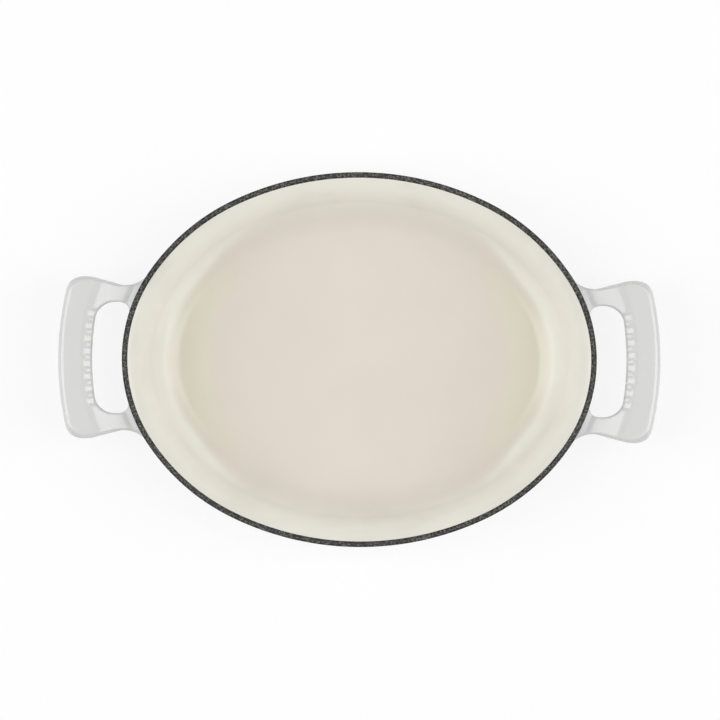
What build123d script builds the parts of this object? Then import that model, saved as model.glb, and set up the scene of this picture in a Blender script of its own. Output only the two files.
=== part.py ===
"""Oval gratin dish in enamelled cast iron, with two loop handles cast in one with the bowl.

Millimetres, +Z up, +X along the dish. The origin lies under the middle of the bowl, on the surface
that the dish stands on.
"""

import os
from math import asin, atan, cos, degrees, radians, sin, sqrt, tan

from build123d import *

# Rim seen from above: an oval of eight arcs, each tangent to the next
rim_length = 280.0
rim_width = 221.0
end_radius_share = 1.0325  # of the radius that an ellipse has at its ends
end_turn = 33.8  # degrees from the long axis to where the end arc stops
shoulder_turn = 64.2  # degrees from the long axis to where the shoulder arc stops

# Section through the bowl
height = 52.0
rim_thickness = 3.3
floor_thickness = 4.7
outer_draft = 19.0  # degrees from upright
inner_draft = 20.0
outer_cove = 24.0
outer_cove_flat_count = 5
inner_cove = 20.0
hidden_cove_flat_count = 1

# Enamel
coat = 0.4
rim_coat = 0.7

# Handles, seen from above
handle_reach = 38.3
root_width = 81.4  # over both arms at the rim's end, at the level of the handle's top
arm_angle = 15.5  # degrees by which the arms spread away from the bowl
grip_width = 19.7
gap_length = 66.0
grip_corner = 12.0
gap_corner = 7.5
gap_root = 11.0
arm_root = 22.0

# Handles, seen from the side
handle_drop = 4.0
grip_thickness = 10.5
handle_draft = 23.5  # degrees by which the handle's outline draws in towards the bowl as it goes down
nose_drop = 4.5  # from the handle's top to the level where it reaches furthest
nose_lean = 30.0  # degrees by which its outer face leans in above that level
scoop_reach = 23.0
scoop_depth = 6.0
scoop_blend = 5.0
belly_depth = 2.5
belly_blend = 5.0

# How the handles are rooted in the wall
wall_bite = 0.3
root_depth = 1.7
root_bite = 0.9
flare_overrun = 1.5  # how far the outline of the flares runs on behind the wall
root_sweep = 90.0  # degrees round the end arc's centre, which takes in the whole handle
gap_bite = 0.4

# Flutes under the fingers, along the inner top edge of the grip
flute_count = 8
flute_pitch = 7.4
flute_run = 3.8
flute_radius = 2.7
flute_slant = 45.0  # degrees from upright

overrun = 12.0  # how far a cutter runs past what it cuts

# Places that follow from those sizes
half_length = rim_length / 2
half_width = rim_width / 2
end_radius = end_radius_share * half_width**2 / half_length
end_centre = Vector(half_length - end_radius, 0)
coat_top = height - rim_coat
handle_top = height - handle_drop
handle_bottom = handle_top - grip_thickness
handle_end = half_length + handle_reach
gap_end = handle_end - grip_width
nose_level = handle_top - nose_drop
foot_level = handle_bottom - overrun
tall = height - foot_level


def direction(angle):
    return Vector(cos(radians(angle)), sin(radians(angle)))


def oval_radii():
    """Radii of the end, shoulder and side arcs, the last two solved from the rim's two widths."""
    end, shoulder = direction(end_turn), direction(shoulder_turn)
    across = half_width - end_radius * end.Y
    along = half_length - end_radius * (1 - end.X)
    shoulder_across, side_across = shoulder.Y - end.Y, 1 - shoulder.Y
    shoulder_along, side_along = end.X - shoulder.X, shoulder.X
    scale = shoulder_across * side_along - side_across * shoulder_along
    shoulder_radius = (across * side_along - side_across * along) / scale
    side_radius = (shoulder_across * along - shoulder_along * across) / scale
    return end_radius, shoulder_radius, side_radius


def oval_arcs():
    """The rim's arcs in turn, each as its centre, radius, first angle and angle swept."""
    end, shoulder, side = oval_radii()
    radii = [end, shoulder, side, shoulder] * 2
    turns = [2 * end_turn, shoulder_turn - end_turn, 180 - 2 * shoulder_turn, shoulder_turn - end_turn] * 2
    centre, start = end_centre, -end_turn
    arcs = []
    for index, (radius, turn) in enumerate(zip(radii, turns)):
        arcs.append((centre, radius, start, turn))
        start += turn
        centre += direction(start) * (radius - radii[(index + 1) % len(radii)])
    return arcs


def outer_run(level):
    """How far inside the rim's edge the outer wall lies at that height."""
    return (coat_top - level) * tan(radians(outer_draft))


def inner_run(level, depth=0):
    """The same for the inner wall, moved into the iron by depth."""
    return rim_thickness + (coat_top - level) * tan(radians(inner_draft)) - depth / cos(radians(inner_draft))


middle_inset = max(outer_run(0) + outer_cove, inner_run(floor_thickness) + inner_cove)
wall_radius = end_radius - outer_run(handle_top)


def cove_corners(corner, radius, draft, flats):
    """Corners of the flats that round off a corner, each flat touching the arc that it stands in for."""
    step = (90 - draft) / (flats + 1)
    centre = Vector(*corner) + Vector(-radius * tan(radians((90 - draft) / 2)), radius)
    reach = radius / cos(radians(step / 2))
    return [centre + direction(step * (place + 0.5) - 90) * reach for place in range(flats + 1)]


def hollow_section(depth=0):
    """The hollow of the bowl, from the flat middle out to the wall, moved into the iron by depth."""
    low = floor_thickness - depth
    corner = (-inner_run(low, depth), low)
    flats = hidden_cove_flat_count if depth else 0
    with BuildSketch() as space:
        with BuildLine():
            Polyline(
                (-middle_inset, low),
                *cove_corners(corner, inner_cove + depth, inner_draft, flats),
                (-inner_run(coat_top, depth), coat_top),
                (-middle_inset, coat_top),
                close=True,
            )
        make_face()
        if not depth:
            fillet(space.vertices().sort_by_distance(corner)[0], inner_cove)
    return space.sketch


def body_section():
    """The bowl with its hollow filled."""
    with BuildSketch() as body:
        with BuildLine():
            Polyline(
                (-middle_inset, 0),
                *cove_corners((-outer_run(0), 0), outer_cove, outer_draft, outer_cove_flat_count),
                (0, coat_top),
                (-middle_inset, coat_top),
                close=True,
            )
        make_face()
    return body.sketch


def rim_section():
    with BuildSketch() as rim:
        with Locations((0, coat_top)):
            Rectangle(rim_thickness, rim_coat, align=(Align.MAX, Align.MIN))
    return rim.sketch


def between(outer, inner):
    with BuildSketch() as band:
        add(outer)
        add(inner, mode=Mode.SUBTRACT)
    return band.sketch


def turn_round_rim(section):
    """Sweep a section, drawn with X outward from the rim's edge and Y up, round all eight arcs."""
    for centre, radius, start, turn in oval_arcs():
        outward = direction(start)
        across = Plane(origin=centre + outward * radius, x_dir=outward, z_dir=(outward.Y, -outward.X, 0))
        revolve(across * section, axis=Axis(centre, (0, 0, 1)), revolution_arc=turn)


def fill_middle(low, high):
    """The flat plate inside what was turned round the rim."""
    with BuildSketch(Plane.XY.offset(low)) as plate:
        with BuildLine():
            for centre, radius, start, turn in oval_arcs():
                CenterArc(centre, radius - middle_inset, start, turn)
        make_face()
    extrude(plate.sketch, amount=high - low)


def down_wall(draft):
    """A plane square to that draft, through the face of the wall at the level of the handle's top."""
    lean = radians(draft)
    face = (half_length - outer_run(handle_top), 0, handle_top)
    return Plane(face, x_dir=(cos(lean), 0, -sin(lean)), z_dir=(sin(lean), 0, cos(lean)))


def loop_plan():
    """Outline of a handle, drawn square to its draft and rooted just behind the face of the wall."""
    draft = radians(handle_draft)
    spread = tan(radians(arm_angle)) / cos(draft)
    rim_end = outer_run(handle_top) * cos(draft)
    nose = (handle_end - half_length + outer_run(handle_top) + nose_drop * tan(draft)) * cos(draft)
    bow_radius = handle_end / cos(draft)
    root_radius = wall_radius / cos(draft)
    centre_to_side = (root_width / 2 - (rim_end + root_bite + root_radius) * spread) * cos(atan(spread))
    flare_turn = atan(spread) + asin((centre_to_side + arm_root) / (root_radius + arm_root))
    flare_end = root_radius * sin(flare_turn) + flare_overrun
    with BuildSketch() as loop:
        with Locations((nose - bow_radius, 0)):
            Circle(bow_radius)
        with Locations((rim_end, 0)):
            Polygon(
                (-end_radius, end_radius * spread - root_width / 2),
                (2 * handle_reach, -2 * handle_reach * spread - root_width / 2),
                (2 * handle_reach, 2 * handle_reach * spread + root_width / 2),
                (-end_radius, root_width / 2 - end_radius * spread),
                align=None,
                mode=Mode.INTERSECT,
            )
    with BuildSketch(down_wall(handle_draft)) as plan:
        with Locations((-root_bite - root_radius, 0)):
            Circle(root_radius)
            Rectangle(2 * root_radius, 2 * flare_end, mode=Mode.INTERSECT)
        add(loop.sketch)
        split(bisect_by=Plane.YZ.offset(-end_radius / 2), keep=Keep.TOP)
        fillet(plan.vertices().group_by(Axis.X)[-1], grip_corner)
        for side in (-root_width / 2, root_width / 2):
            corner_along = sqrt(root_radius**2 - side**2) - root_radius
            fillet(plan.vertices().sort_by_distance((corner_along, side))[0], arm_root)
    return plan.sketch


def gap_plan():
    """Outline of the finger gap from above, open towards the bowl."""
    with BuildSketch(Plane.XY.offset(foot_level)) as plan:
        Circle(gap_end)
        with Locations(end_centre):
            Rectangle(half_length, gap_length, align=(Align.MIN, Align.CENTER), mode=Mode.INTERSECT)
        fillet(plan.vertices().group_by(Axis.X)[-1], gap_corner)
    return plan.sketch


def gap_root_plan():
    """The gap's other end, which rounds off against the wall, drawn square to the wall's own draft."""
    corner_across = gap_length / 2 - gap_root
    corner_along = sqrt((wall_radius + gap_root - gap_bite) ** 2 - corner_across**2)
    near_end = (corner_along - gap_root - wall_radius) * cos(radians(outer_draft))
    with BuildSketch(down_wall(outer_draft)) as plan:
        with Locations((near_end, 0)):
            Rectangle(2 * handle_reach, gap_length, align=(Align.MIN, Align.CENTER))
        fillet(plan.vertices().group_by(Axis.X)[0], gap_root)
    return plan.sketch


def finger_gap():
    with BuildPart() as gap:
        extrude(gap_plan(), amount=tall)
        extrude(gap_root_plan(), amount=tall, both=True, mode=Mode.INTERSECT)
    return gap.part


def side_profile():
    """Section of a handle along the dish, to be turned about the centre of the rim's end arc."""
    scoop, belly = handle_top - scoop_depth, handle_bottom - belly_depth
    root_low = belly - belly_blend
    reach = handle_end + overrun
    scoop_corner = (half_length - outer_run(scoop) - wall_bite, scoop)
    belly_corner = (half_length - outer_run(belly) - wall_bite, belly)
    with BuildSketch(Plane.XZ) as profile:
        with BuildLine():
            Polyline(
                (half_length - outer_run(coat_top) - root_depth, coat_top),
                (half_length - outer_run(coat_top) - wall_bite, coat_top),
                scoop_corner,
                (half_length + scoop_reach, handle_top),
                (reach, handle_top),
                (reach, handle_bottom),
                (half_length + scoop_reach, handle_bottom),
                belly_corner,
                (half_length - outer_run(root_low) - wall_bite, root_low),
                (half_length - outer_run(root_low) - root_depth, root_low),
                close=True,
            )
        make_face()
        fillet(profile.vertices().sort_by_distance(scoop_corner)[0], scoop_blend)
        chamfer(profile.vertices().sort_by_distance(belly_corner)[0], belly_blend)
    return profile.sketch


def cut_flutes():
    """Round grooves side by side, each slanting through the inner top edge of the grip."""
    slant = radians(flute_slant)
    spread = degrees(flute_pitch / gap_end)
    place = (
        flute_run / 2 - flute_radius * cos(slant),
        0,
        handle_top - flute_run / 2 / tan(slant) + flute_radius * sin(slant),
    )
    with PolarLocations(gap_end, flute_count, -spread * (flute_count - 1) / 2, spread * flute_count):
        with Locations(place):
            Cylinder(flute_radius, 2 * overrun, rotation=(0, flute_slant, 0), mode=Mode.SUBTRACT)


def handle():
    """The handle at the +X end."""
    axis = Axis(end_centre, (0, 0, 1))
    lean = tan(radians(nose_lean))
    with BuildPart() as side:
        add(side_profile().rotate(axis, -root_sweep / 2))
        revolve(axis=axis, revolution_arc=root_sweep)
    with BuildPart() as loop:
        extrude(loop_plan(), amount=tall, both=True)
        with Locations((0, 0, foot_level)):
            Cone(
                handle_end + (nose_level - foot_level) * lean,
                handle_end - (foot_level + tall - nose_level) * lean,
                tall,
                align=(Align.CENTER, Align.CENTER, Align.MIN),
                mode=Mode.INTERSECT,
            )
        add(side.part, mode=Mode.INTERSECT)
        add(finger_gap(), mode=Mode.SUBTRACT)
        cut_flutes()
    return loop.part


right_handle = handle()

with BuildPart() as iron_casting:
    turn_round_rim(between(body_section(), hollow_section(coat)))
    fill_middle(0, floor_thickness - coat)
    add(right_handle)
    mirror(right_handle, about=Plane.YZ)

with BuildPart() as interior_enamel:
    turn_round_rim(between(hollow_section(coat), hollow_section()))
    fill_middle(floor_thickness - coat, floor_thickness)

with BuildPart() as rim_enamel:
    turn_round_rim(rim_section())

iron_casting.part.label = "iron_casting"
interior_enamel.part.label = "interior_enamel"
rim_enamel.part.label = "rim_enamel"

os.makedirs("parts", exist_ok=True)
for piece in (iron_casting, interior_enamel, rim_enamel):
    export_step(piece.part, f"parts/{piece.part.label}.step")
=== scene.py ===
"""Looks of an oval enamelled cast-iron gratin dish with two fluted loop handles.

Metres, in the frame of the CAD model: +X along the dish, +Z up, the origin under the middle of the bowl.
"""

from math import cos, pi, radians, sin, tan

import bmesh
import bpy
import numpy as np
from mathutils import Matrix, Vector


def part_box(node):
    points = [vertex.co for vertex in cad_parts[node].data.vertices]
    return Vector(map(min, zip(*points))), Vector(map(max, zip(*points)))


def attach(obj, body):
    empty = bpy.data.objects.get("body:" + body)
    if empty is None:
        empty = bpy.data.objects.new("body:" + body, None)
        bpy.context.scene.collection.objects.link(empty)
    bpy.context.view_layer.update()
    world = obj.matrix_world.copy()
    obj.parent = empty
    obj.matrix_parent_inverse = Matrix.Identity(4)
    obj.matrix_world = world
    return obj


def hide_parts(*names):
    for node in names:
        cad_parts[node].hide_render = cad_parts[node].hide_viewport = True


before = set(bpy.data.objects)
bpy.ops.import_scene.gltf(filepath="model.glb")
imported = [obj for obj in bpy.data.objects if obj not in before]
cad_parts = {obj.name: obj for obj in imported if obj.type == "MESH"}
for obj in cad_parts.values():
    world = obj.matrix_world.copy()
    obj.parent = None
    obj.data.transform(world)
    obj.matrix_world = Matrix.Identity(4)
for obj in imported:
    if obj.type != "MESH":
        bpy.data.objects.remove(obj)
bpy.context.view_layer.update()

mm = 0.001

# Places read from the frame, each at a node's highest corner
half_length, half_width, rim_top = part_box("rim_enamel")[1]
coat_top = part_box("interior_enamel")[1][2]
handle_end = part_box("iron_casting")[1][0]

# Oval of the rim: three kinds of arc, each tangent to the next
end_radius_share = 1.0325  # of the radius that an ellipse has at its ends
end_turn = radians(33.8)
shoulder_turn = radians(64.2)

# Section through the bowl
rim_thickness = 3.3 * mm
floor_thickness = 4.7 * mm
outer_draft = radians(19)
inner_draft = radians(20)
outer_cove = 24 * mm
inner_cove = 20 * mm
coat = 0.4 * mm
seat_round = 0.25 * mm
lip_round = 0.65 * mm
middle_inset = 44 * mm

# Handles: the loop from above
root_width = 83.2 * mm
grip_width = 19.7 * mm
arm_angle = radians(15.5)
arm_root = 18 * mm
root_bite = 0.4 * mm  # how far the arms reach into the wall
grip_corner = 11.5 * mm
gap_length = 66 * mm
gap_corner = 9.5 * mm
gap_root = 12 * mm

# Handles: the loop from the side
handle_top = 48 * mm
grip_thickness = 10.5 * mm
nose_drop = 4.5 * mm
nose_lean = radians(30)
handle_draft = radians(23.5)
scoop_reach = 23 * mm
scoop_depth = 6 * mm
belly_depth = 2.5 * mm

# Handles: rounded edges
edge_round = 1.2 * mm
gap_round = 0.7 * mm
nose_round = 2.4 * mm
nose_round_share = 0.3  # how much of its radius the rounding takes off the nose's tip
slope_round = 0.5 * mm
wall_blend = 9 * mm
blend_rise = 2.2  # how fast the blend widens below the rim
blend_edge_share = 1.4  # of the arms' root radius, how far beside the arms the blend ends
blend_least = 0.01 * mm

# Flutes
flute_count = 8
flute_pitch = 7.4 * mm
flute_run = 4.1 * mm
flute_width = 5.1 * mm
flute_corner = 1.4 * mm
flute_round = 0.8 * mm
flute_fall = radians(21)

# Fineness of the meshes
end_cells = 208
shoulder_cells = 64
side_cells = 130
patch_margin = 24  # cells of the shoulders that a handle's patch takes in
cell_out = 0.55 * mm
cell_up = 0.55 * mm
patch_low = 20 * mm
patch_high = 50.9 * mm
cells_inside = 1.25  # how many cells a patch starts inside the wall
cells_outside = 3
arc_step = radians(6)
least_arc_steps = 3
middle_shares = (0.02, 0.15, 0.3, 0.45, 0.6, 0.75, 0.88)
rim_shares = (0.3, 0.4, 0.5, 0.6, 0.7)
slope_step = 0.02 * mm
least_slope = 0.05
settle_rounds = 4
weld_distance = 0.005 * mm
level_slack = 0.001 * mm

end_radius = end_radius_share * half_width**2 / half_length
end_x = half_length - end_radius
handle_low = handle_top - grip_thickness
nose_level = handle_top - nose_drop
gap_end = handle_end - grip_width


def oval_radii():
    """Radii of the shoulder and side arcs, solved from the rim's length and width."""
    across = half_width - end_radius * sin(end_turn)
    along = half_length - end_radius * (1 - cos(end_turn))
    matrix = [
        [sin(shoulder_turn) - sin(end_turn), 1 - sin(shoulder_turn)],
        [cos(end_turn) - cos(shoulder_turn), cos(shoulder_turn)],
    ]
    return np.linalg.solve(matrix, [across, along])


shoulder_radius, side_radius = oval_radii()
shoulder_x = end_x + (end_radius - shoulder_radius) * cos(end_turn)
shoulder_y = (end_radius - shoulder_radius) * sin(end_turn)
side_y = half_width - side_radius


def oval_columns(at_centres):
    """Places round the rim's edge as x, y and the outward direction, at the cells' borders or centres."""
    quarter = [
        (end_x, 0, end_radius, 0, end_turn, end_cells // 2),
        (shoulder_x, shoulder_y, shoulder_radius, end_turn, shoulder_turn, shoulder_cells),
        (0, side_y, side_radius, shoulder_turn, pi / 2, side_cells // 2),
    ]
    rows = []
    for x, y, radius, start, stop, cells in quarter:
        steps = np.arange(cells) + (0.5 if at_centres else 0)
        angle = start + (stop - start) * steps / cells
        out_x = np.cos(angle)
        out_y = np.sin(angle)
        rows.append(np.column_stack([x + radius * out_x, y + radius * out_y, out_x, out_y]))
    first = np.vstack(rows)
    if at_centres:
        second = first[::-1] * [-1, 1, -1, 1]
        return np.vstack([first, second, -first, -second])
    top = np.array([[0, half_width, 0, 1]])
    second = first[:0:-1] * [-1, 1, -1, 1]
    left = first[:1] * [-1, 1, -1, 1]
    return np.vstack([first, top, second, left, -first[1:], -top, -second])


def oval_distance(x, y):
    """How far points lie outside the rim's edge, seen from above."""
    x, y = np.abs(x), np.abs(y)
    end = np.hypot(x - end_x, y) - end_radius
    shoulder = np.hypot(x - shoulder_x, y - shoulder_y) - shoulder_radius
    side = np.hypot(x, y - side_y) - side_radius
    in_end = np.arctan2(y, x - end_x) <= end_turn
    in_side = np.arctan2(y - side_y, x) >= shoulder_turn
    return np.where(in_end, end, np.where(in_side, side, shoulder))


def outer_run(level):
    """How far inside the rim's edge the outer wall lies at a height."""
    return (coat_top - level) * tan(outer_draft)


def inner_run(level, depth=0.0):
    """How far inside the rim's edge the inner wall lies at a height, or a surface at a depth behind it."""
    return rim_thickness + (coat_top - level) * tan(inner_draft) - depth / cos(inner_draft)


def rounded(points, radii):
    """A polyline with an arc of the given radius in each of its inner corners."""
    out = [Vector(points[0])]
    for before, corner, after, radius in zip(points, points[1:], points[2:], radii):
        before, corner, after = Vector(before), Vector(corner), Vector(after)
        if radius == 0:
            out.append(corner)
            continue
        back, ahead = (before - corner).normalized(), (after - corner).normalized()
        half = back.angle(ahead) / 2
        centre = corner + (back + ahead).normalized() * radius / sin(half)
        start = corner + back * radius / tan(half) - centre
        stop = corner + ahead * radius / tan(half) - centre
        turn = start.angle_signed(stop)
        steps = max(least_arc_steps, int(abs(turn) / arc_step))
        for step in range(steps + 1):
            angle = -turn * step / steps
            x = start.x * cos(angle) - start.y * sin(angle)
            y = start.x * sin(angle) + start.y * cos(angle)
            out.append(centre + Vector((x, y)))
    out.append(Vector(points[-1]))
    return np.array([tuple(point) for point in out])


def rings(profile, columns, shares):
    """A profile of insets and heights turned round the rim, with rings shrunk to the middle at its ends."""
    grid = []
    for inset, level in profile:
        places = columns[:, :2] - inset * columns[:, 2:]
        grid.append(np.column_stack([places, np.full(len(columns), level)]))
    first = [grid[0] * [share, share, 1] for share in shares]
    last = [grid[-1] * [share, share, 1] for share in reversed(shares)]
    return np.array(first + grid + last)


def grid_faces(rows, count, skip, close):
    """Faces between neighbouring rings."""
    faces = []
    for row in range(rows if close else rows - 1):
        here, above = row * count, (row + 1) % rows * count
        for column in range(count):
            if skip(row, column):
                continue
            after = (column + 1) % count
            faces.append((here + column, here + after, above + after, above + column))
    return faces


def turned_mesh(profile, columns, skip=lambda row, column: False, close=False):
    """Vertices and faces of a turned profile. An open profile is closed over the middle at both ends."""
    grid = rings(profile, columns, () if close else middle_shares)
    count = len(columns)
    faces = grid_faces(len(grid), count, skip, close)
    points = grid.reshape(-1, 3)
    if not close:
        low, high = grid[0].mean(0), grid[-1].mean(0)
        points = np.vstack([points, low, high])
        last = (len(grid) - 1) * count
        for column in range(count):
            after = (column + 1) % count
            faces.append((after, column, len(points) - 2))
            faces.append((last + column, last + after, len(points) - 1))
    return points, faces


def piece(name, parts):
    """One object from several sets of vertices and faces, welded where they meet."""
    mesh = bpy.data.meshes.new(name)
    work = bmesh.new()
    for points, faces in parts:
        made = [work.verts.new(point) for point in points]
        for face in faces:
            work.faces.new([made[index] for index in face])
    bmesh.ops.remove_doubles(work, verts=work.verts, dist=weld_distance)
    bmesh.ops.recalc_face_normals(work, faces=work.faces)
    for face in work.faces:
        face.smooth = True
    work.to_mesh(mesh)
    work.free()
    made = bpy.data.objects.new(name, mesh)
    bpy.context.collection.objects.link(made)
    return made


def cut_round(a, b, radius):
    """Intersection of two solids given as distances, its edge rounded to that radius."""
    outside = np.hypot(np.maximum(a + radius, 0), np.maximum(b + radius, 0))
    return np.minimum(np.maximum(a, b), -radius) + outside


def join_round(a, b, radius):
    """Union of two solids given as distances, its inner corner rounded to that radius."""
    return -cut_round(-a, -b, radius)


def blend(a, b, width):
    """Union of two solids given as distances, flowing into each other over that width."""
    near = np.maximum(width - np.abs(a - b), 0)
    return np.minimum(a, b) - near**2 / (4 * width)


def smooth(share):
    """A share held between 0 and 1, with level ends."""
    share = np.clip(share, 0, 1)
    return share**2 * (3 - 2 * share)


def beside_arms(x, y, z):
    """How far points lie beside the outer sides of a handle's arms, which move with the wall's draft."""
    reach = x + (handle_top - z) * tan(handle_draft)
    return (np.abs(y) - root_width / 2 - (reach - half_length) * tan(arm_angle)) * cos(arm_angle)


def handle_outline(x, y, z):
    """Distance outside a handle's outline from above, which flares into the wall."""
    reach = x + (handle_top - z) * tan(handle_draft)
    root = np.hypot(reach - end_x, y) - end_radius + outer_run(handle_top) + root_bite
    return join_round(beside_arms(x, y, z), root, arm_root)


def nose(from_middle, z):
    """Distance outside the bowed nose, which leans back over its level and under it."""
    from_tip = from_middle - handle_end - nose_round_share * nose_round
    upper = (from_tip + (z - nose_level) * tan(nose_lean)) * cos(nose_lean)
    lower = (from_tip + (nose_level - z) * tan(handle_draft)) * cos(handle_draft)
    return cut_round(upper, lower, nose_round)


def handle_layer(beyond, z):
    """Distance outside the handle's top and belly, which both dip from the bar towards the bowl."""
    reach = scoop_reach + outer_run(handle_top - scoop_depth)
    scoop = np.arctan2(scoop_depth, reach)
    top_slope = (z - handle_top - (beyond - scoop_reach) * np.tan(scoop)) * np.cos(scoop)
    top = cut_round(z - handle_top, top_slope, slope_round)
    belly = np.arctan2(belly_depth, reach)
    belly_slope = (handle_low + (beyond - scoop_reach) * np.tan(belly) - z) * np.cos(belly)
    bottom = join_round(handle_low - z, belly_slope, slope_round)
    return cut_round(top, bottom, edge_round)


def flute(index, x, y, z):
    """Distance outside one of the flutes, which fall from the bar's top and stop inside the finger gap."""
    turn = (index - (flute_count - 1) / 2) * flute_pitch / gap_end
    along = x * cos(turn) + y * sin(turn) - gap_end - flute_run
    across = y * cos(turn) - x * sin(turn)
    bed = along * sin(flute_fall) - (z - handle_top) * cos(flute_fall)
    sides = np.abs(across) - flute_width / 2
    return np.maximum(cut_round(bed, sides, flute_corner), -along - 2 * flute_run)


def handle_distance(x, y, z):
    """Distance outside the handle at the +X end."""
    from_middle = np.hypot(x, y)
    beyond = np.hypot(x - end_x, y) - end_radius
    outline = cut_round(handle_outline(x, y, z), nose(from_middle, z), grip_corner)
    solid = cut_round(outline, handle_layer(beyond, z), edge_round)
    gap = cut_round(np.abs(y) - gap_length / 2, from_middle - gap_end, gap_corner)
    gap = cut_round(gap, -beyond - outer_run(z), gap_root)
    solid = cut_round(solid, -gap, gap_round)
    for index in range(flute_count):
        solid = cut_round(solid, -flute(index, x, y, z), flute_round)
    return solid


def casting_distance(x, y, z):
    """Distance outside the wall with its handle."""
    wall = (oval_distance(x, y) + outer_run(z)) * cos(outer_draft)
    near_top = np.clip(blend_rise * (patch_high - z) / wall_blend, 0, 1)
    near_arms = smooth(blend_edge_share - beside_arms(x, y, z) / arm_root)
    return blend(wall, handle_distance(x, y, z), wall_blend * near_top * near_arms + blend_least)


def slope_of(distance, points):
    """How a distance grows along each axis at each point."""
    columns = []
    for shift in np.eye(3) * slope_step:
        change = distance(*(points + shift).T) - distance(*(points - shift).T)
        columns.append(change / (2 * slope_step))
    return np.column_stack(columns)


def settle(distance, points):
    """Moves points onto the surface where the distance is zero."""
    for _ in range(settle_rounds):
        slope = slope_of(distance, points)
        steepness = np.maximum((slope**2).sum(1), least_slope)
        points = points - slope * (distance(*points.T) / steepness)[:, None]
    return points


corners = [(a, b, c) for a in (0, 1) for b in (0, 1) for c in (0, 1)]


def at_corner(values, start):
    """A grid's values at one corner of each cell."""
    return values[tuple(slice(n, size - 1 + n) for n, size in zip(start, values.shape))]


def crossing_places(value, crossed_cells, cells):
    """Middle of the zero crossings on the edges of each crossed cell, in cells."""
    total = np.zeros((len(cells), 3))
    hits = np.zeros(len(cells))
    edges = [(start, axis) for start in corners for axis in range(3) if not start[axis]]
    for start, axis in edges:
        stop = tuple(1 if i == axis else n for i, n in enumerate(start))
        a = at_corner(value, start)[crossed_cells]
        b = at_corner(value, stop)[crossed_cells]
        crossed = (a < 0) != (b < 0)
        place = np.tile(np.array(start, float), (len(cells), 1))
        place[:, axis] += np.where(crossed, a / np.where(crossed, a - b, 1), 0)
        total += place * crossed[:, None]
        hits += crossed
    return cells + total / hits[:, None]


def crossing_faces(inside, number):
    """Faces round each grid edge that passes through the surface."""
    faces = []
    for axis, (left, right) in enumerate(((1, 2), (2, 0), (0, 1))):
        low = [slice(None)] * 3
        high = [slice(None)] * 3
        low[axis], high[axis] = slice(0, -1), slice(1, None)
        change = inside[tuple(low)].astype(int) - inside[tuple(high)].astype(int)
        for at in np.argwhere(change):
            if min(at[left], at[right]) < 1:
                continue
            if at[left] >= number.shape[left] or at[right] >= number.shape[right]:
                continue
            around = []
            for step_left, step_right in ((0, 0), (-1, 0), (-1, -1), (0, -1)):
                cell = at.copy()
                cell[left] += step_left
                cell[right] += step_right
                around.append(number[tuple(cell)])
            faces.append(around if change[tuple(at)] > 0 else around[::-1])
    return faces


def handle_patch(borders, levels):
    """Vertices and faces of the wall's end with its handle, where the distance passes zero in a bent grid."""
    reach = handle_end - half_length + outer_run(patch_low) + cells_outside * cell_out
    outs = np.arange(-cells_inside * cell_out, reach, cell_out)
    base = borders[:, None, None, :]
    run = outs[None, :, None] - outer_run(levels)[None, None, :]
    x = base[..., 0] + base[..., 2] * run
    y = base[..., 1] + base[..., 3] * run
    value = casting_distance(x, y, np.broadcast_to(levels[None, None, :], x.shape))
    inside = value < 0
    filled = sum(at_corner(inside, start).astype(int) for start in corners)
    crossed_cells = (filled > 0) & (filled < len(corners))
    cells = np.argwhere(crossed_cells)
    number = np.full(crossed_cells.shape, -1)
    number[crossed_cells] = np.arange(len(cells))

    place = crossing_places(value, crossed_cells, cells)
    whole = np.minimum(place[:, 0].astype(int), len(borders) - 2)
    share = (place[:, 0] - whole)[:, None]
    column = borders[whole] * (1 - share) + borders[whole + 1] * share
    level = levels[0] + place[:, 2] * (levels[1] - levels[0])
    run = outs[0] + place[:, 1] * cell_out - outer_run(level)
    points = np.column_stack([column[:, :2] + column[:, 2:] * run[:, None], level])
    return settle(casting_distance, points), crossing_faces(inside, number)


def casting():
    """The bowl's iron and white coat in one closed mesh with both handles."""
    centres = oval_columns(at_centres=True)
    borders = oval_columns(at_centres=False)
    cells = int(round((patch_high - patch_low) / cell_up))
    levels = np.linspace(patch_low, patch_high, cells + 1)
    rows = (levels[1:] + levels[:-1]) / 2
    low = floor_thickness - coat
    profile = rounded(
        [
            (middle_inset, 0),
            (outer_run(0), 0),
            (0, coat_top),
            (inner_run(coat_top, coat), coat_top),
            (inner_run(low, coat), low),
            (middle_inset, low),
        ],
        [outer_cove, seat_round, seat_round, inner_cove + coat],
    )
    cove_top = outer_cove * (1 - sin(outer_draft)) - level_slack
    wall_start = 1 + next(i for i, point in enumerate(profile) if point[1] > cove_top)
    wall = np.column_stack([outer_run(rows), rows])
    profile = np.vstack([profile[:wall_start], wall, profile[wall_start:]])
    first_row = wall_start + len(middle_shares)
    half = end_cells // 2 + patch_margin
    count = len(centres)

    def in_patch(row, column):
        if not first_row <= row < first_row + len(rows) - 1:
            return False
        right = column < half - 1 or column >= count - half
        left = count // 2 - half <= column < count // 2 + half - 1
        return right or left

    body = turned_mesh(profile, centres, in_patch)
    points, faces = handle_patch(np.vstack([borders[-half:], borders[:half + 1]]), levels)
    mirrored = points * [-1, 1, 1], [face[::-1] for face in faces]
    return piece("casting", [body, (points, faces), mirrored])


def interior():
    """The cream coat over the floor and the inner wall."""
    low = floor_thickness - coat
    profile = rounded(
        [
            (middle_inset, low),
            (inner_run(low, coat), low),
            (inner_run(coat_top, coat), coat_top),
            (inner_run(coat_top), coat_top),
            (inner_run(floor_thickness), floor_thickness),
            (middle_inset, floor_thickness),
        ],
        [inner_cove + coat, 0, 0, inner_cove],
    )
    return piece("interior", [turned_mesh(profile, oval_columns(at_centres=True))])


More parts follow.
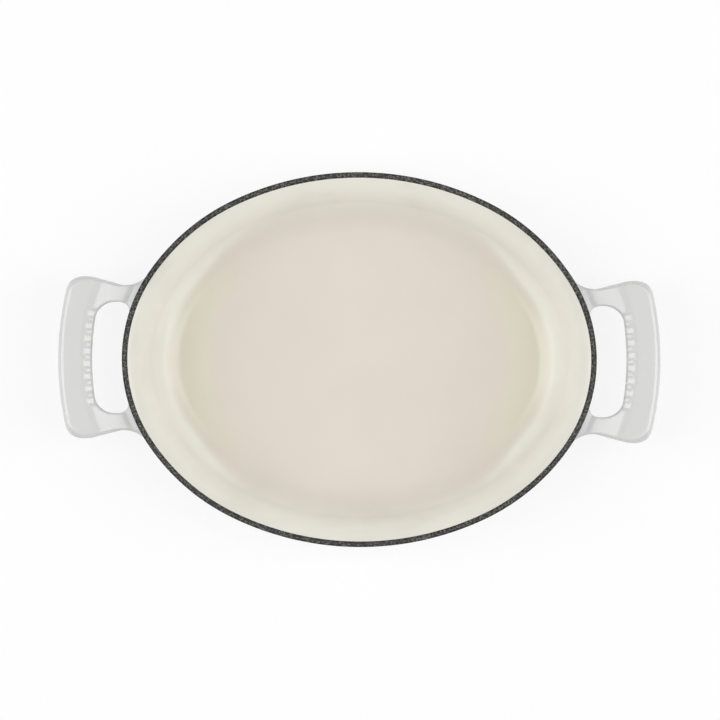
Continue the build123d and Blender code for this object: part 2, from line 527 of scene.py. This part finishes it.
def rim():
    """The dark coat on the rim, which also holds how far each point lies from the rim's middle line."""
    across = [(rim_thickness * share, rim_top) for share in rim_shares]
    profile = rounded(
        [
            (rim_thickness / 2, coat_top),
            (0, coat_top),
            (0, rim_top),
            *across,
            (rim_thickness, rim_top),
            (rim_thickness, coat_top),
            (rim_thickness / 2, coat_top),
        ],
        [0, lip_round, *[0] * len(across), lip_round, 0],
    )[:-1]
    made = piece("rim", [turned_mesh(profile, oval_columns(at_centres=True), close=True)])
    points = np.array([tuple(vertex.co) for vertex in made.data.vertices])
    from_middle = np.abs(oval_distance(points[:, 0], points[:, 1]) / (rim_thickness / 2) + 1)
    made.data.attributes.new("from_middle", "FLOAT", "POINT").data.foreach_set("value", from_middle)
    return made


def node(tree, kind, inputs=(), **settings):
    """A shader node with its settings and with its inputs set or linked by place."""
    made = tree.nodes.new("ShaderNode" + kind)
    for name, value in settings.items():
        setattr(made, name, value)
    for place, value in enumerate(inputs):
        if isinstance(value, bpy.types.NodeSocket):
            tree.links.new(value, made.inputs[place])
        elif value is not None:
            made.inputs[place].default_value = value
    return made


def ramp(tree, value, low, high):
    """Smooth share from 0 to 1 as a value passes from low to high."""
    made = node(tree, "MapRange", [value, low, high], interpolation_type="SMOOTHSTEP")
    return made.outputs["Result"]


def product(tree, *shares):
    """Shares multiplied together."""
    out = shares[0]
    for share in shares[1:]:
        out = node(tree, "Math", [out, share], operation="MULTIPLY").outputs["Value"]
    return out


def mixed(tree, share, base, layer):
    """Colour that goes from base to layer by a share."""
    made = node(tree, "Mix", data_type="RGBA")
    inputs = {socket.identifier: socket for socket in made.inputs}
    tree.links.new(share, inputs["Factor_Float"])
    for name, value in (("A_Color", base), ("B_Color", layer)):
        if isinstance(value, bpy.types.NodeSocket):
            tree.links.new(value, inputs[name])
        else:
            inputs[name].default_value = (*value, 1)
    return next(socket for socket in made.outputs if socket.identifier == "Result_Color")


def noise(tree, where, size, detail=2):
    """Noise with lumps of a given size."""
    made = node(tree, "TexNoise", [where])
    made.inputs["Scale"].default_value = 1 / size
    made.inputs["Detail"].default_value = detail
    return made.outputs["Fac"]


# Clouding of the coats: size, noise range, strength, how much darker, and how it changes the gloss
cloud_size = 45 * mm
cloud_detail = 3
cloud_range = (0.35, 0.75)
cloud_strength = 0.25
cloud_shade = 0.9
gloss_range = (0.3, 0.7)
gloss_shares = (0.85, 1.2)


def glaze(name, colour, tints, ripples, roughness, specular):
    """An enamel: colour with any tints and painted light laid over it, faint clouding, uneven gloss and a
    rippled surface.
    """
    made = bpy.data.materials.new(name)
    made.use_nodes = True
    tree = made.node_tree
    shader = tree.nodes["Principled BSDF"]
    shader.inputs["Specular IOR Level"].default_value = specular
    where = node(tree, "TexCoord").outputs["Object"]
    cloud = noise(tree, where, cloud_size, cloud_detail)
    clouding = product(tree, ramp(tree, cloud, *cloud_range), cloud_strength)
    shade = tints(tree, where, colour) if tints else colour
    shade = mixed(tree, clouding, shade, [cloud_shade * c for c in colour])
    tree.links.new(shade, shader.inputs["Base Color"])
    roughnesses = [share * roughness for share in gloss_shares]
    uneven = node(tree, "MapRange", [cloud, *gloss_range, *roughnesses])
    tree.links.new(uneven.outputs["Result"], shader.inputs["Roughness"])
    normal = None
    for size, height in ripples:
        bump = node(tree, "Bump")
        bump.inputs["Distance"].default_value = height
        tree.links.new(noise(tree, where, size), bump.inputs["Height"])
        if normal:
            tree.links.new(normal, bump.inputs["Normal"])
        normal = bump.outputs["Normal"]
    tree.links.new(normal, shader.inputs["Normal"])
    return made


# Cream coat: its colours
floor_cream = (0.73, 0.675, 0.6)
# Painted light: the walls are painted paler and greener than the floor
wall_painted_light_cream = (0.9, 0.882, 0.8)
# Painted shade and dark reflection in the coves at the dish's ends
cove_shade_cream = (0.745, 0.72, 0.585)

# Cream coat: heights over the floor between which it goes over to the painted light of the walls, a paler,
# greener cream
pale_low = 0.3 * mm
pale_high = 14 * mm
pale_drop = 10 * mm  # how much lower the upper one is at the dish's ends

# Cream coat: where the painted shade lies at the ends of the floor, as shares of the floor's half sizes
# inside the coves
floor_inset = 34 * mm
floor_half_length = half_length - floor_inset
floor_half_width = half_width - floor_inset
end_shares = (0.6, 0.95)
cove_shade_start_shares = (0.78, 0.93)
cove_shade_stop_shares = (1.13, 1.03)
cove_shade_strength = 0.9


def cream_tints(tree, where, colour):
    """Painted light that makes the wall paler and greener above the floor, and painted shade, darker and
    yellower, in the coves at the ends of the floor.
    """
    scale = (1 / floor_half_length, 1 / floor_half_width, 0)
    scaled = node(tree, "VectorMath", [where, scale], operation="MULTIPLY").outputs["Vector"]
    out = node(tree, "VectorMath", [scaled], operation="LENGTH").outputs["Value"]
    along = node(tree, "SeparateXYZ", [scaled]).outputs["X"]
    along = node(tree, "Math", [along], operation="ABSOLUTE").outputs["Value"]
    near_end = ramp(tree, along, *end_shares)
    height = node(tree, "SeparateXYZ", [where]).outputs["Z"]
    full_level = floor_thickness + pale_high
    pale_from = node(tree, "Math", [near_end, -pale_drop, full_level], operation="MULTIPLY_ADD")
    # Painted light: the wall goes over to a paler, greener cream above the floor
    painted_paleness = ramp(tree, height, floor_thickness + pale_low, pale_from.outputs["Value"])
    shade = mixed(tree, painted_paleness, colour, wall_painted_light_cream)
    # Painted shade: darker, yellower cream in the coves at the ends of the floor
    cove_shade = product(tree, ramp(tree, out, *cove_shade_start_shares), ramp(tree, out, *cove_shade_stop_shares), near_end)
    return mixed(tree, product(tree, cove_shade, cove_shade_strength), shade, cove_shade_cream)


# Rim: its colours
dark_coat = (0.018, 0.018, 0.017)
# Painted highlight along the middle of the rim
rim_highlight_coat = (0.06, 0.06, 0.056)
grit_colour = (0.2, 0.2, 0.185)

# Rim: where the painted highlight along its middle lies, as shares of its half width, and its grit
rim_highlight_shares = (0.55, 0.1)
rim_highlight_strength = 0.7
grit_size = 0.95 * mm
grit_detail = 1
grit_range = (0.5, 0.63)
grit_strength = 0.7


def rim_tints(tree, where, colour):
    """Pale grit in the dark bare coat, and a painted highlight that makes the rim paler along its middle."""
    across_rim = node(tree, "Attribute", attribute_name="from_middle").outputs["Fac"]
    # Painted highlight: paler coat along the rim's middle line
    shade = mixed(tree, product(tree, ramp(tree, across_rim, *rim_highlight_shares), rim_highlight_strength), colour, rim_highlight_coat)
    grit = ramp(tree, noise(tree, where, grit_size, grit_detail), *grit_range)
    return mixed(tree, product(tree, grit, grit_strength), shade, grit_colour)


white = (1, 1, 1, 1)

# Table: its half size and its finish
table_half = 4.0
table_colour = (0.95, 0.95, 0.95, 1)
table_roughness = 0.9

# Table: distances from the middle between which it goes over to white, and its share of white there
white_radii = (0.2, 0.6)
white_shares = (0.78, 1)


def studio_floor():
    """A white table top, which keeps a faint shadow and shows white to the camera."""
    mesh = bpy.data.meshes.new("floor")
    signs = ((-1, -1), (1, -1), (1, 1), (-1, 1))
    mesh.from_pydata([(table_half * x, table_half * y, 0) for x, y in signs], [], [(0, 1, 2, 3)])
    floor = bpy.data.objects.new("floor", mesh)
    bpy.context.collection.objects.link(floor)
    made = bpy.data.materials.new("floor_white")
    made.use_nodes = True
    tree = made.node_tree
    shader = tree.nodes["Principled BSDF"]
    shader.inputs["Base Color"].default_value = table_colour
    shader.inputs["Roughness"].default_value = table_roughness
    shine = node(tree, "Emission")
    shine.inputs["Color"].default_value = white
    seen = node(tree, "LightPath").outputs["Is Camera Ray"]
    where = node(tree, "TexCoord").outputs["Object"]
    from_middle = node(tree, "VectorMath", [where], operation="LENGTH").outputs["Value"]
    far = node(tree, "MapRange", [from_middle, *white_radii, *white_shares], interpolation_type="SMOOTHSTEP")
    share = product(tree, seen, far.outputs["Result"])
    mix = node(tree, "MixShader", [share, shader.outputs["BSDF"], shine.outputs["Emission"]])
    tree.links.new(mix.outputs["Shader"], tree.nodes["Material Output"].inputs["Surface"])
    mesh.materials.append(made)


# Name, bearing, height above the table, distance, two sizes and radiance of each lamp
lamps = (
    ("lamp_left", radians(180), radians(62), 2.0, 0.9, 1.07, 3.0),
    ("lamp_right", 0, radians(62), 2.0, 0.9, 1.07, 3.0),
    ("lamp_low_left", radians(180), radians(35), 1.9, 1.5, 1.0, 2.4),
    ("lamp_low_right", 0, radians(35), 1.9, 1.5, 1.0, 2.4),
)
# Sky: sines of the two heights between which it dims upward, and its strengths there
sky_levels = (0.3, 0.75)
sky_strengths = (0.36, 0.3)


def studio_sky():
    """A dim even sky, which shows white to the camera."""
    world = bpy.data.worlds.new("studio")
    bpy.context.scene.world = world
    world.use_nodes = True
    tree = world.node_tree
    sky = tree.nodes["Background"]
    upward = node(tree, "SeparateXYZ", [node(tree, "TexCoord").outputs["Generated"]]).outputs["Z"]
    shade = node(tree, "MapRange", [upward, *sky_levels, *sky_strengths], interpolation_type="SMOOTHSTEP")
    tree.links.new(shade.outputs["Result"], sky.inputs["Strength"])
    sky.inputs["Color"].default_value = white
    backdrop = node(tree, "Background")
    backdrop.inputs["Color"].default_value = white
    seen = node(tree, "LightPath").outputs["Is Camera Ray"]
    mix = node(tree, "MixShader", [seen, sky.outputs["Background"], backdrop.outputs["Background"]])
    tree.links.new(mix.outputs["Shader"], tree.nodes["World Output"].inputs["Surface"])


def studio_lamps():
    """Soft lamps at both ends of the dish, a high and a low one at each."""
    for name, turn, rise, away, length, width, radiance in lamps:
        lamp = bpy.data.lights.new(name, "AREA")
        lamp.shape = "RECTANGLE"
        lamp.size = length
        lamp.size_y = width
        lamp.energy = radiance * pi * length * width
        made = bpy.data.objects.new(name, lamp)
        made.location = (away * cos(rise) * cos(turn), away * cos(rise) * sin(turn), away * sin(rise))
        made.rotation_euler = (-made.location).to_track_quat("-Z", "Y").to_euler()
        bpy.context.collection.objects.link(made)


# Camera straight above, as in the photograph, whose frame is 720 pixels square
frame_pixels = 720
pixel_size = 0.589 * mm
middle_pixel = (359.3, 359.6)
camera_away = 1.8
camera_turn = radians(0.5)


def camera():
    """The camera over the middle of the bowl."""
    lens = bpy.data.cameras.new("camera")
    lens.lens = lens.sensor_width * camera_away / (frame_pixels * pixel_size)
    made = bpy.data.objects.new("camera", lens)
    made.location = (
        (frame_pixels / 2 - middle_pixel[0]) * pixel_size,
        (middle_pixel[1] - frame_pixels / 2) * pixel_size,
        rim_top + camera_away,
    )
    made.rotation_euler = (0, 0, camera_turn)
    bpy.context.collection.objects.link(made)
    bpy.context.scene.camera = made


def dress(made, node_name, finish):
    """Gives a piece its finish and puts it in the place of a CAD node."""
    made.data.materials.append(finish)
    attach(made, "root")
    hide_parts(node_name)


white_coat = (0.665, 0.669, 0.661)

# Size and height of each coat's ripples
white_ripples = [(13 * mm, 0.08 * mm), (1.7 * mm, 0.004 * mm)]
cream_ripples = [(18 * mm, 0.1 * mm), (1.8 * mm, 0.004 * mm)]
rim_ripples = [(0.5 * mm, 0.05 * mm)]

white_enamel = glaze("white_enamel", white_coat, None, white_ripples, roughness=0.18, specular=0.75)
cream_enamel = glaze("cream_enamel", floor_cream, cream_tints, cream_ripples, roughness=0.2, specular=0.5)
matt_rim = glaze("matt_rim", dark_coat, rim_tints, rim_ripples, roughness=0.55, specular=0.25)

dress(casting(), "iron_casting", white_enamel)
dress(interior(), "interior_enamel", cream_enamel)
dress(rim(), "rim_enamel", matt_rim)
studio_floor()
studio_sky()
studio_lamps()
camera()
bpy.context.scene.view_settings.view_transform = "Standard"
